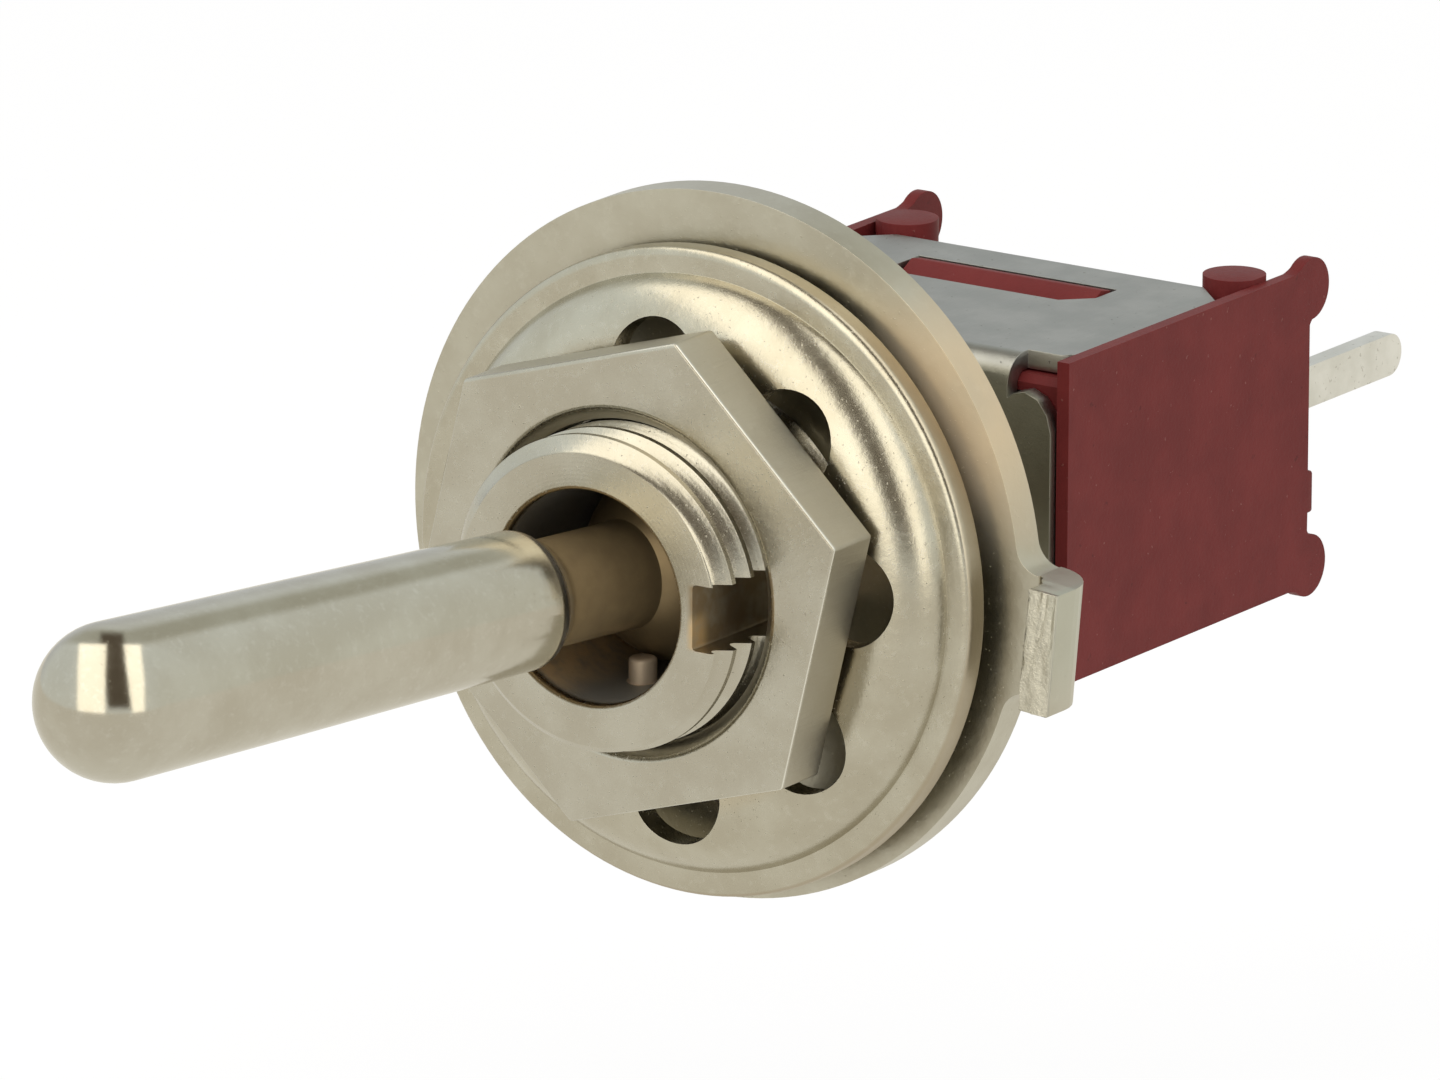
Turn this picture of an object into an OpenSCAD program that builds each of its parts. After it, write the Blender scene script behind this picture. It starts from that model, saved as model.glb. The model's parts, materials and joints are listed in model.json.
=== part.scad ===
// Sub-miniature panel toggle switch, single pole, two lever positions.
// The bushing axis is Y. The lever points to -Y, the terminals to +Y, and the lever swings in the XY plane.
// The origin is the centre of the bracket's front face, which seats behind the panel.

/* [Lever] */
// Angle between the lever at rest and the bushing axis, which is half of its swing
lever_tilt = 12.5; // [8:0.5:13]
// Length from the pivot to the end of the tip
lever_reach = 13; // [9:0.5:20]
// Diameter at the rounded tip
lever_tip_d = 2.44; // [1.8:0.02:2.8]
// Diameter just outside the bushing
lever_root_d = 2.16; // [1.6:0.02:2.3]
// Diameter of the neck inside the bushing mouth
neck_d = 1.5; // [1.2:0.05:1.8]
// Length of the hollow stem behind the pivot
stem_len = 4.2; // [3:0.1:4.4]
// Outer diameter of the hollow stem
stem_d = 1.6; // [1.4:0.05:1.8]
// Diameter of the plunger, which sets the bore of the stem
plunger_d = 1; // [0.7:0.05:1.1]
// Diameter of the cross pin that the lever turns on
pin_d = 0.6; // [0.4:0.05:0.8]

/* [Bushing] */
// Outside diameter of the thread
thread_d = 5; // [4.8:0.1:6.4]
// Length of the bushing in front of the bracket
bushing_len = 7.55; // [7:0.05:12]
// Diameter of the bore that holds the lever's ball
bore_d = 3.36; // [3.2:0.02:3.6]
// Depth of the pivot behind the bushing's front face
pivot_depth = 2.75; // [2.4:0.05:3.2]
// Width of the keyway
keyway_w = 1.04; // [0.8:0.02:1.3]
// Depth of the keyway
keyway_depth = 0.56; // [0.4:0.02:0.6]

/* [Panel hardware] */
// Hex nut size across its flats
nut_af = 7; // [6.4:0.1:9]
// Thickness of the hex nut
nut_t = 1.05; // [0.8:0.05:2]
// Distance that the bushing stands out of the nut
nut_setback = 0.95; // [0.5:0.05:1.2]
// Outside diameter of the toothed lock washer
lock_d = 10.16; // [9.8:0.02:12]
// Sheet thickness of the lock washer
lock_t = 0.44; // [0.32:0.02:0.5]
// Number of teeth of the lock washer
lock_teeth = 8; // [6:1:10]
// Outside diameter of the keyed washer
keyed_d = 11.16; // [10:0.02:13]
// Thickness of the keyed washer
keyed_t = 0.62; // [0.4:0.02:0.8]
// Width of the keyed washer's tab
tab_w = 1.94; // [1.4:0.02:2.4]
// Length that the tab stands forward of the washer
tab_len = 0.66; // [0.5:0.02:1.5]

/* [Case and bracket] */
// Length of the case along the throw direction
case_l = 7.46; // [7.2:0.02:9]
// Thickness of the case between its wide faces
case_h = 5.14; // [5:0.02:6.4]
// Depth of the case behind the panel seat
case_depth = 7.13; // [7.05:0.02:9]
// Sheet thickness of the bracket
bracket_t = 0.3; // [0.2:0.02:0.4]
// Length of the bracket's legs
leg_len = 5.35; // [5.2:0.05:5.6]
// Length of the catch slot in each leg
slot_l = 3.7; // [3:0.1:4.4]
// Width of the catch slot
slot_w = 1.05; // [0.8:0.05:1.2]

/* [Terminals] */
// Distance between neighbouring terminals
pitch = 2.54; // [2.4:0.01:2.6]
// Length of the terminals behind the case
terminal_len = 4.42; // [3:0.02:6]
// Width of a terminal
terminal_w = 0.68; // [0.6:0.02:0.8]
// Thickness of a terminal
terminal_t = 0.32; // [0.26:0.02:0.5]

/* [Contacts] */
// Angle that each arm of the rocker is bent forward
arm_rise = 8; // [6:0.5:10]
// Thickness of the rocker
rocker_t = 0.25; // [0.2:0.01:0.3]
// Diameter of the silver contact rivets
rivet_d = 1; // [0.8:0.05:1.2]

/* [Hidden] */
$fn = 64;
eps = 0.01;

// clearances
run_gap = 0.03;      // radial clearance of every piece that turns or slides
seat_gap = 0.03;     // gap between pieces that are pressed together
washer_gap = 0.33;   // loose stretch between the two washers
side_gap = 0.03;     // bracket inside the case's end plates
contact_gap = 0.02;  // rocker on a closed contact
tip_gap = 0.04;      // plunger over the middle of the rocker

// lever
pivot_y = -bushing_len + pivot_depth;
ball_r = bore_d / 2 - 0.08;
shoulder_s = 3.3;            // where the full shaft begins, from the pivot
shoulder_r = 0.9;            // radius of the fillet between neck and shaft
tip_r = lever_tip_d / 2;
stem_bore_r = plunger_d / 2 + run_gap;
stem_bore_start = 0.95;      // solid length between the ball centre and the spring
plunger_back = 2.9;          // where the plunger begins, from the pivot
plunger_end = 6.62;          // where its round tip ends, from the pivot
plunger_r = plunger_d / 2;

// spring in the stem
spring_turns = 6;
wire_d = 0.16;
spring_r = stem_bore_r - wire_d / 2 - run_gap;
spring_sides = 8;
spring_steps = 14;

// bushing
thread_r = thread_d / 2;
bore_r = bore_d / 2;
mouth_bevel = 0.16;
well_r = 1.8;                // counterbore that the stem swings in
well_y = pivot_y + 0.9;
neck_od = 2 * well_r + 0.6;  // reduced end that passes the bracket
lip_d = neck_od + 0.26;      // end rolled over behind the bracket
lip_t = 0.18;
seat_depth = 0.05;           // coined seat of the bushing's shoulder in the bracket
bump_r = 0.22;               // staked bump on the wall of the bore
bump_y = pivot_y - 1.2;
bump_z = bore_r - 0.4;
keyway_end = 1.1;            // stretch in front of the bracket left without keyway

// hardware
nut_y = -(bushing_len - nut_setback);
nut_turn = 16.5;
nut_hole_r = thread_r + run_gap;
countersink_r = thread_r + 0.26;
lock_r = lock_d / 2;
rim_w = 0.4;                 // flat rim around the domed ring
dome_span = 0.95;            // width of the dome between the teeth and the rim
dome_drop = 0.7;             // drop from the teeth to the rim
dome_r = (dome_span * dome_span + dome_drop * dome_drop) / (2 * dome_drop);
dome_start = lock_r - rim_w - dome_span;
lock_lean = 2;               // the loose washer leans back at the top
lock_y = nut_y + nut_t + seat_gap + dome_start * sin(lock_lean);
lock_back = lock_y + dome_drop + lock_t;
gullet_r = 0.8;
gullet_pos = lock_r - 1.76;
lock_hang = 0.24;            // the washer hangs on the thread, off the axis
keyed_y = lock_back + washer_gap;
keyed_turn = -5;
keyed_shift = -0.1;          // the loose washer lies off the axis, away from its tab
keyed_hole_r = thread_r + 0.13;
keyed_bevel = 0.12;          // bevelled front edge
key_w = keyway_w - 0.54;     // tongue, narrow enough for the washer to lie turned
key_x = thread_r - keyway_depth - keyed_shift + 0.1;      // inner end of the tongue
tab_t = keyed_t - 0.12;
tab_fold_r = 0.75;           // outside radius of the folded tab
tab_x = keyed_d / 2 + 1.04;  // outside face of the tab
tab_fillet = 0.45;           // concave corner between disc and tab

// bracket
end_t = 0.21;                // case's end plates, outside the bracket's edges
plate_w = case_l - 2 * end_t - 2 * side_gap;
leg_z = case_h / 2 - 0.03;   // outside face of each leg
fold_r = 0.5;
relief = 0.8;                // corner relief beside each fold
leg_chamfer = 0.62;
slot_back = leg_len - 0.9;   // rear edge of the catch slot
catch_gap = 0.08;            // play of the case's catch in the slot

// case
core_z = leg_z - bracket_t - side_gap;
case_front = bracket_t + seat_gap;
fold_bevel = 0.16;
end_front = bracket_t - 0.15;
wall = 0.5;
relief_y = leg_len + 0.12;   // rear of the wide faces, stepped down behind the legs
relief_z = core_z - 0.36;
boss_r = 0.5;                // round bosses in the corners behind the legs
boss_x = plate_w / 2 - 0.43;
boss_y = leg_len + 0.6;
boss_z = case_h / 2 + 0.09;
sheet_t = 0.12;              // insulating sheet in the front of the case
sheet_y = bracket_t + lip_t + seat_gap;
sheet_x = case_l / 2 - 0.62;
sheet_z = core_z - 0.28;
recess_y = sheet_y + sheet_t;
foot_t = 0.27;               // thickness of the round feet on the end plates
foot_r = 0.5;
foot_y = case_depth + 0.05;  // centre of a foot
foot_z = case_h / 2 - 0.32;
foot_corner_r = 0.2;         // concave corner between a foot and the rear edge
foot_ramp_r = 1.2;           // long concave rise from the side edge to a foot
floor_y = 3.02;
chamber_x = pitch + terminal_t / 2 + 0.33;   // half length of the contact chamber and of the rear well
chamber_z = core_z - wall;
seal_depth = 1.0;
seal_sink = 0.12;            // rear of the sealing compound below the case
seal_z = relief_z - 0.45;

// contacts
apex_y = pivot_y + plunger_end + tip_gap;   // rocker's front face in the middle
rocker_hub_r = 0.35;
hub_depth = 0.38;            // front face of an arm to the turning centre, square to the arm
rocker_y = apex_y + hub_depth / cos(arm_rise);
arm_back = rocker_y - hub_depth + rocker_t;
arm_len = pitch - 0.1;
rivet_head = 0.2;
rivet_x = pitch - 0.45;
head_y = arm_back + contact_gap + rivet_head;
blade_end = case_depth + terminal_len;
terminal_z = 0.14;           // the terminals stand a little off the middle of the case
rocker_half = 1;             // half width of the rocker
cradle_x = 0.6;              // half length of the block that the rocker turns on
cradle_z = rocker_half + 0.1;
pad_x = rivet_d / 2 + 0.05;  // half length of the pad that carries a rivet
pad_z = rivet_d / 2 + 0.4;
rivet_bevel = 0.06;

// shape whose own z axis is laid along +Y, starting at y
module along_y(y) {
    translate([0, y, 0]) rotate([-90, 0, 0]) children();
}

// shape whose own z axis runs from the pivot to the lever's tip
module lever_front() {
    translate([0, pivot_y, 0]) rotate([0, 0, -lever_tilt]) rotate([90, 0, 0]) children();
}

// shape whose own z axis runs from the pivot into the switch
module lever_back() {
    translate([0, pivot_y, 0]) rotate([0, 0, -lever_tilt]) rotate([-90, 0, 0]) children();
}

// block given by its low corner and its high corner
module block(low, high) {
    translate(low) cube(high - low);
}

// mirrored pair across a plane
module both(v) {
    children();
    mirror(v) children();
}

module lever() {
    root_r = lever_root_d / 2;
    neck_r = neck_d / 2;
    cone_end = lever_reach - tip_r;
    color("lightgray") difference() {
        union() {
            lever_front() {
                sphere(r = ball_r);
                cylinder(h = shoulder_s - 0.2, r = neck_r);
                // concave shoulder from the neck to the shaft
                rotate_extrude() difference() {
                    translate([0, shoulder_s - shoulder_r]) square([root_r, shoulder_r]);
                    translate([neck_r + shoulder_r, shoulder_s - shoulder_r]) circle(r = shoulder_r);
                }
                translate([0, 0, shoulder_s]) cylinder(h = cone_end - shoulder_s, r1 = root_r, r2 = tip_r);
                translate([0, 0, cone_end]) sphere(r = tip_r);
            }
            lever_back() cylinder(h = stem_len, r = stem_d / 2);
        }
        lever_back() translate([0, 0, stem_bore_start]) cylinder(h = stem_len, r = stem_bore_r);
        translate([0, pivot_y, -bore_d]) cylinder(h = 2 * bore_d, r = pin_d / 2 + run_gap);
    }
}

module pivot_pin() {
    color("silver") translate([0, pivot_y, -thread_r + 0.25]) cylinder(h = thread_d - 0.5, r = pin_d / 2);
}

module plunger() {
    color("ivory") lever_back() {
        translate([0, 0, plunger_back]) cylinder(h = plunger_end - plunger_r - plunger_back, r = plunger_r);
        translate([0, 0, plunger_end - plunger_r]) sphere(r = plunger_r);
    }
}

// point j of ring i on the coiled wire
function coil_point(i, j, rise) =
    let (turn = 360 * i / spring_steps, around = 360 * j / spring_sides, r = spring_r + wire_d / 2 * cos(around))
    [r * cos(turn), r * sin(turn), rise * i / spring_steps + wire_d / 2 * sin(around)];

module spring() {
    rings = spring_turns * spring_steps;
    rise = (plunger_back - stem_bore_start - wire_d - 2 * seat_gap) / spring_turns;
    points = [for (i = [0:rings]) for (j = [0:spring_sides - 1]) coil_point(i, j, rise)];
    sides = [for (i = [0:rings - 1]) for (j = [0:spring_sides - 1])
        let (a = i * spring_sides + j, b = i * spring_sides + (j + 1) % spring_sides)
        [a, a + spring_sides, b + spring_sides, b]];
    ends = [[for (j = [0:spring_sides - 1]) j],
        [for (j = [spring_sides - 1:-1:0]) rings * spring_sides + j]];
    color("gray") lever_back() translate([0, 0, stem_bore_start + wire_d / 2 + seat_gap])
        polyhedron(points = points, faces = concat(sides, ends));
}

module bushing() {
    color("gainsboro") difference() {
        union() {
            along_y(-bushing_len) {
                cylinder(h = mouth_bevel, r1 = thread_r - mouth_bevel, r2 = thread_r);
                translate([0, 0, mouth_bevel]) cylinder(h = bushing_len - mouth_bevel + seat_depth, r = thread_r);
            }
            along_y(-eps) cylinder(h = bracket_t + lip_t + eps, d = neck_od);
            along_y(bracket_t) cylinder(h = lip_t, d = lip_d);
        }
        along_y(-bushing_len - 1) cylinder(h = bushing_len + 2, r = bore_r);
        along_y(well_y) cylinder(h = bushing_len, r = well_r);
        block([thread_r - keyway_depth, -bushing_len - 1, -keyway_w / 2], [thread_r + 1, -keyway_end, keyway_w / 2]);
        translate([0, pivot_y, -thread_d]) cylinder(h = 2 * thread_d, r = pin_d / 2);
    }
    color("gainsboro") translate([0, bump_y, -bore_r - 0.2]) cylinder(h = bore_r + 0.2 - bump_z, r = bump_r);
}

// one corner of the front plate, cut back beside the fold
module plate_corner() {
    half = plate_w / 2;
    neck = half - relief;
    top = leg_z - 0.5;
    polygon([
        [-eps, -eps], [half, -eps], [half, top - 0.6], [half - 0.07, top - 0.32], [half - 0.24, top - 0.1],
        [half - 0.48, top], [neck + 0.12, top - 0.05], [neck, top - 0.14], [neck, leg_z], [-eps, leg_z]
    ]);
}

// flat outline of the front plate, drawn as x and z
module plate_outline() {
    both([1, 0, 0]) both([0, 1, 0]) plate_corner();
}

// catch slot in a leg, or what fits it with a gap all round, drawn as x and y
module slot_outline(gap = 0) {
    half = slot_l / 2 - gap;
    back = slot_back - gap;
    front = slot_back - slot_w + gap;
    cut = 0.42 - 0.59 * gap;
    polygon([[-half, back], [-half, front + cut], [-half + cut, front],
        [half - cut, front], [half, front + cut], [half, back]]);
}

// flat outline of one leg, drawn as x and y
module leg_outline() {
    half = plate_w / 2;
    neck = half - relief;
    front = fold_r + 0.1;
    difference() {
        polygon([
            [neck, 0], [neck, front], [half - 0.2, front], [half, front + 0.2],
            [half, leg_len - leg_chamfer], [half - leg_chamfer, leg_len],
            [-half + leg_chamfer, leg_len], [-half, leg_len - leg_chamfer],
            [-half, front + 0.2], [-half + 0.2, front], [-neck, front], [-neck, 0]
        ]);
        slot_outline();
    }
}

// section of the folded sheet, drawn as y and z, with round folds
module sheet_section() {
    difference() {
        union() {
            translate([0, -leg_z + fold_r]) square([leg_len, 2 * leg_z - 2 * fold_r]);
            translate([fold_r, -leg_z]) square([leg_len - fold_r, 2 * leg_z]);
            for (s = [-1, 1]) translate([fold_r, s * (leg_z - fold_r)]) circle(r = fold_r);
        }
        inner_r = fold_r - bracket_t;
        inner_z = leg_z - bracket_t;
        translate([bracket_t, -inner_z + inner_r]) square([leg_len, 2 * inner_z - 2 * inner_r]);
        translate([fold_r, -inner_z]) square([leg_len, 2 * inner_z]);
        for (s = [-1, 1]) translate([fold_r, s * (inner_z - inner_r)]) circle(r = inner_r);
    }
}

module bracket() {
    color("silver") difference() {
        intersection() {
            translate([-plate_w / 2, 0, 0]) rotate([90, 0, 90]) linear_extrude(plate_w) sheet_section();
            translate([0, 0, -leg_z]) linear_extrude(2 * leg_z) leg_and_fold();
            union() {
                translate([0, fold_r, 0]) rotate([90, 0, 0]) linear_extrude(fold_r) plate_outline();
                block([-plate_w, fold_r - eps, -leg_z], [plate_w, leg_len, leg_z]);
            }
        }
        along_y(-1) cylinder(h = 2, r = neck_od / 2 + eps);
        along_y(-1) cylinder(h = 1 + seat_depth, r = thread_r + eps);
        along_y(bracket_t) cylinder(h = 1, r = lip_d / 2 + eps);
    }
}

// leg outline joined to the full width of the plate in front of the fold
module leg_and_fold() {
    leg_outline();
    translate([-plate_w / 2, 0]) square([plate_w, bracket_t + eps]);
}

// concave corner between a foot and the rear edge, drawn as y and z
module foot_corner() {
    cy = case_depth + foot_corner_r - 0.02;
    cz = foot_z - sqrt(pow(foot_r + foot_corner_r - 0.02, 2) - pow(cy - foot_y, 2));
    difference() {
        polygon([[case_depth - 0.1, cz], [cy, cz], [foot_y, foot_z], [case_depth - 0.1, foot_z]]);
        translate([cy, cz]) circle(r = foot_corner_r);
    }
}

// rise from the side edge to a foot, drawn as y and z
module foot_ramp() {
    cz = case_h / 2 + foot_ramp_r - 0.02;
    cy = foot_y - sqrt(pow(foot_r + foot_ramp_r - 0.02, 2) - pow(cz - foot_z, 2));
    difference() {
        polygon([[cy, case_h / 2 - 0.1], [cy, cz], [foot_y, foot_z], [foot_y, case_h / 2 - 0.1]]);
        translate([cy, cz]) circle(r = foot_ramp_r);
    }
}

module end_plate() {
    inner = case_l / 2 - end_t;
    block([inner - eps, end_front, -case_h / 2], [case_l / 2, case_depth, case_h / 2]);
    both([0, 0, 1]) {
        translate([inner, 0, 0]) rotate([90, 0, 90]) linear_extrude(end_t) foot_corner();
        translate([inner, 0, 0]) rotate([90, 0, 90]) linear_extrude(end_t) foot_ramp();
        translate([case_l / 2 - foot_t, foot_y, foot_z]) rotate([0, 90, 0]) cylinder(h = foot_t, r = foot_r);
    }
}

// wedge on a wide face that snaps into the leg's slot
module catch_wedge() {
    y0 = slot_back - slot_w;
    y1 = slot_back - 0.34;
    intersection() {
        translate([-slot_l, 0, 0]) rotate([90, 0, 90]) linear_extrude(2 * slot_l)
            polygon([[y0, core_z - 0.2], [y0, core_z], [y1, leg_z + 0.04], [slot_back, leg_z - 0.02], [slot_back, core_z - 0.2]]);
        linear_extrude(case_h) slot_outline(catch_gap);
    }
}

// round boss behind a leg's corner, joined to the end plate and cut flush with it
module corner_boss() {
    intersection() {
        translate([boss_x, boss_y, relief_z - 0.1]) cylinder(h = boss_z - relief_z + 0.1, r = boss_r);
        block([0, 0, 0], [case_l / 2 - end_t + eps, case_depth, case_h]);
    }
}

module terminal_slot(x) {
    half_t = terminal_t / 2 + eps;
    half_w = terminal_w / 2 + eps;
    translate([0, 0, terminal_z]) block([x - half_t, 0, -half_w], [x + half_t, case_depth + 1, half_w]);
}

module case() {
    color("brown") difference() {
        union() {
            block([-case_l / 2 + end_t, case_front, -core_z], [case_l / 2 - end_t, case_depth, core_z]);
            both([1, 0, 0]) end_plate();
            both([0, 0, 1]) catch_wedge();
        }
        // contact chamber, open to the front
        block([-chamber_x, -1, -chamber_z], [chamber_x, floor_y, chamber_z]);
        // room for the rolled end of the bushing
        along_y(case_front - 1) cylinder(h = sheet_y - case_front + 1, r = lip_d / 2 + seat_gap);
        // bevels that clear the inside of the bracket's folds
        both([0, 0, 1]) translate([0, case_front, core_z]) rotate([45, 0, 0]) cube([plate_w, fold_bevel, fold_bevel], center = true);
        // seat of the insulating sheet
        block([-sheet_x - seat_gap, -1, -sheet_z - seat_gap], [sheet_x + seat_gap, recess_y, sheet_z + seat_gap]);
        // stepped rear of the wide faces
        both([0, 0, 1]) block([-case_l / 2 + end_t, relief_y, relief_z], [case_l / 2 - end_t, case_depth + 1, case_h]);
        // well for the sealing compound
        block([-chamber_x, case_depth - seal_depth, -seal_z], [chamber_x, case_depth + 1, seal_z]);
        for (i = [-1:1]) terminal_slot(i * pitch);
    }
    color("brown") both([0, 0, 1]) both([1, 0, 0]) corner_boss();
}

module insulator() {
    slot_half = plunger_r + 0.25;
    color("dimgray") difference() {
        block([-sheet_x, sheet_y, -sheet_z], [sheet_x, recess_y, sheet_z]);
        // long hole that the plunger swings in
        block([-well_r, -1, -slot_half], [well_r, recess_y + 1, slot_half]);
    }
}

module terminal_seal() {
    color("tan") difference() {
        block([-chamber_x, case_depth - seal_depth, -seal_z], [chamber_x, case_depth - seal_sink, seal_z]);
        for (i = [-1:1]) terminal_slot(i * pitch);
    }
}

// flat blade with a round end
module blade(x) {
    r = terminal_w / 2;
    translate([x - terminal_t / 2, 0, terminal_z]) {
        block([0, floor_y - eps, -r], [terminal_t, blade_end - r, r]);
        translate([0, blade_end - r, 0]) rotate([0, 90, 0]) cylinder(h = terminal_t, r = r);
    }
}

module common_terminal() {
    top = rocker_y + 0.05;
    color("silver") difference() {
        union() {
            blade(0);
            block([-cradle_x, top, -cradle_z], [cradle_x, floor_y, cradle_z]);
        }
        translate([0, rocker_y, -2 * cradle_z]) cylinder(h = 4 * cradle_z, r = rocker_hub_r + run_gap);
    }
}

module throw_terminal(s) {
    x = s * pitch;
    color("silver") {
        blade(x);
        block([s * rivet_x - pad_x, head_y, -pad_z], [s * rivet_x + pad_x, floor_y, pad_z]);
    }
}

module left_terminal() {
    throw_terminal(-1);
}

module right_terminal() {
    throw_terminal(1);
}

module rivet(s) {
    color("white") translate([s * rivet_x, 0, 0]) along_y(head_y - rivet_head) {
        cylinder(h = rivet_bevel, d1 = rivet_d - 2 * rivet_bevel, d2 = rivet_d);
        translate([0, 0, rivet_bevel]) cylinder(h = rivet_head - rivet_bevel, d = rivet_d);
    }
}

module left_rivet() {
    rivet(-1);
}

module right_rivet() {
    rivet(1);
}

module rocker() {
    color("white") translate([0, rocker_y, 0]) rotate([0, 0, arm_rise]) {
        translate([0, 0, -rocker_half]) cylinder(h = 2 * rocker_half, r = rocker_hub_r);
        both([1, 0, 0]) rotate([0, 0, -arm_rise])
            block([0, -hub_depth, -rocker_half], [arm_len, -hub_depth + rocker_t, rocker_half]);
    }
}

// concave corner between the disc and the tab's arm, drawn as x and z
module tab_corner() {
    r = keyed_d / 2 - 0.02;
    cz = tab_w / 2 - 0.02 + tab_fillet;
    cx = sqrt(pow(r + tab_fillet, 2) - cz * cz);
    k = (r - 0.1) / (r + tab_fillet);
    difference() {
        polygon([[cx, cz], [cx * k, cz * k], [cx * k - 0.4, 0], [cx, 0]]);
        translate([cx, cz]) circle(r = tab_fillet);
    }
}

module keyed_washer() {
    fold_x = tab_x - tab_fold_r;
    fold_y = keyed_y + keyed_t - tab_fold_r;
    color("wheat") translate([keyed_shift, 0, 0]) rotate([0, -keyed_turn, 0]) difference() {
        union() {
            along_y(keyed_y) {
                cylinder(h = keyed_bevel, r1 = keyed_d / 2 - keyed_bevel, r2 = keyed_d / 2);
                translate([0, 0, keyed_bevel]) cylinder(h = keyed_t - keyed_bevel, d = keyed_d);
            }
            // arm out to the fold
            block([keyed_d / 2 - 1, keyed_y, -tab_w / 2], [fold_x + eps, keyed_y + keyed_t, tab_w / 2]);
            translate([0, keyed_y + keyed_t, 0]) rotate([90, 0, 0]) linear_extrude(keyed_t) both([0, 1, 0]) tab_corner();
            // round fold and the tab that stands forward
            intersection() {
                translate([fold_x, fold_y, -tab_w / 2]) cylinder(h = tab_w, r = tab_fold_r);
                block([fold_x, fold_y, -tab_w], [tab_x, keyed_y + keyed_t, tab_w]);
            }
            block([tab_x - tab_t, keyed_y - tab_len, -tab_w / 2], [tab_x, fold_y + eps, tab_w / 2]);
        }
        difference() {
            along_y(keyed_y - 1) cylinder(h = keyed_t + 2, r = keyed_hole_r);
            // tongue that runs in the keyway
            block([key_x, keyed_y - 2, -key_w / 2], [thread_r + 1, keyed_y + 2, key_w / 2]);
        }
    }
}

// section of the lock washer, drawn as radius and depth: teeth, domed ring and flat rim
module lock_section() {
    flat_r = thread_r + lock_hang + 0.04;
    edge = 0.14;
    translate([flat_r, 0]) square([dome_start - flat_r, lock_t]);
    intersection() {
        translate([dome_start - eps, 0]) square([dome_span + eps, dome_r]);
        difference() {
            translate([dome_start, dome_r]) circle(r = dome_r);
            translate([dome_start, dome_r]) circle(r = dome_r - lock_t);
        }
    }
    translate([lock_r - rim_w - 0.3, dome_drop + 0.12]) square([rim_w + 0.3 - edge, lock_t - 0.12]);
    translate([lock_r - rim_w - eps, dome_drop]) square([rim_w + eps - edge, lock_t]);
    translate([lock_r - edge - eps, dome_drop + edge]) square([edge + eps, lock_t - edge]);
    translate([lock_r - edge, dome_drop + edge]) circle(r = edge);
}

module lock_washer() {
    color("gainsboro") translate([0, lock_y, -lock_hang]) rotate([-90 - lock_lean, 0, 0]) difference() {
        rotate_extrude() lock_section();
        // gullets between the teeth
        for (i = [0:lock_teeth - 1]) rotate([0, 0, -5 + i * 360 / lock_teeth]) {
            translate([gullet_pos, 0, -1]) cylinder(h = 4, r = gullet_r);
            translate([0, -0.4, -1]) cube([gullet_pos, 0.8, 4]);
        }
    }
}

module hex_nut() {
    color("gainsboro") along_y(nut_y) rotate([0, 0, -nut_turn]) difference() {
        cylinder(h = nut_t, d = nut_af / cos(30), $fn = 6);
        translate([0, 0, -1]) cylinder(h = nut_t + 2, r = nut_hole_r);
        translate([0, 0, -eps]) cylinder(h = countersink_r - nut_hole_r, r1 = countersink_r, r2 = nut_hole_r);
    }
}

lever();
pivot_pin();
plunger();
spring();
bushing();
bracket();
case();
insulator();
terminal_seal();
rocker();
common_terminal();
left_terminal();
right_terminal();
left_rivet();
right_rivet();
keyed_washer();
lock_washer();
hex_nut();
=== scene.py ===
# %% [markdown]
# # A sub-miniature panel toggle switch
# This lesson dresses the working model of a small panel toggle switch. The frame gives every part at
# its real size and place, in metres. The bushing axis is Y, the lever points to -Y and the terminals
# to +Y. Turned parts are drawn as half outlines and spun, sheet parts are extruded, folded and
# bevelled, and each finish is built from nodes.

# %% Load the working model
import bpy
import json
from math import atan2, cos, degrees, pi, radians, sin, sqrt
from mathutils import Matrix, Vector

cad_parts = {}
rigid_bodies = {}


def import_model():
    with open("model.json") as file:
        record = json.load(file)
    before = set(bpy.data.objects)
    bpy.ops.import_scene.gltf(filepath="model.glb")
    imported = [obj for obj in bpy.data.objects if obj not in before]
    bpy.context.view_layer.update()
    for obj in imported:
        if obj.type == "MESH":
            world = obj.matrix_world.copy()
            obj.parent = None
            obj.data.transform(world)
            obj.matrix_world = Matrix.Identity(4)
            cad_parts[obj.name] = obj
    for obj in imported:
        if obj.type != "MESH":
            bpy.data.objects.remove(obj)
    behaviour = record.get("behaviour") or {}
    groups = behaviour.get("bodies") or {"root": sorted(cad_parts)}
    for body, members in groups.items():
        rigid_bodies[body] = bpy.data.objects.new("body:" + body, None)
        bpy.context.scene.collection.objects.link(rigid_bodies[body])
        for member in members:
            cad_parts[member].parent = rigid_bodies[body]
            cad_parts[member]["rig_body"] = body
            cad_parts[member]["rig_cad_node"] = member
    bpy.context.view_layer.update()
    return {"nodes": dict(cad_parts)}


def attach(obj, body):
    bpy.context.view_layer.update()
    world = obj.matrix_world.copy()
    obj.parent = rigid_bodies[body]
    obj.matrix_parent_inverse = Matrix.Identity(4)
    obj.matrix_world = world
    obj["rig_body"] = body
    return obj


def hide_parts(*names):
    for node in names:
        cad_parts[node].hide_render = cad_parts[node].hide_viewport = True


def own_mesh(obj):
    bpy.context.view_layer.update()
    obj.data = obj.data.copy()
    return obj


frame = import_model()
nodes = frame["nodes"]
MM = 0.001
print("nodes:", len(nodes))

# %% [markdown]
# ## Camera
# A long lens far away shows a small product without stretching it. The camera is placed from an aim
# point, a distance and three angles, so each can be understood and changed by itself.

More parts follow.
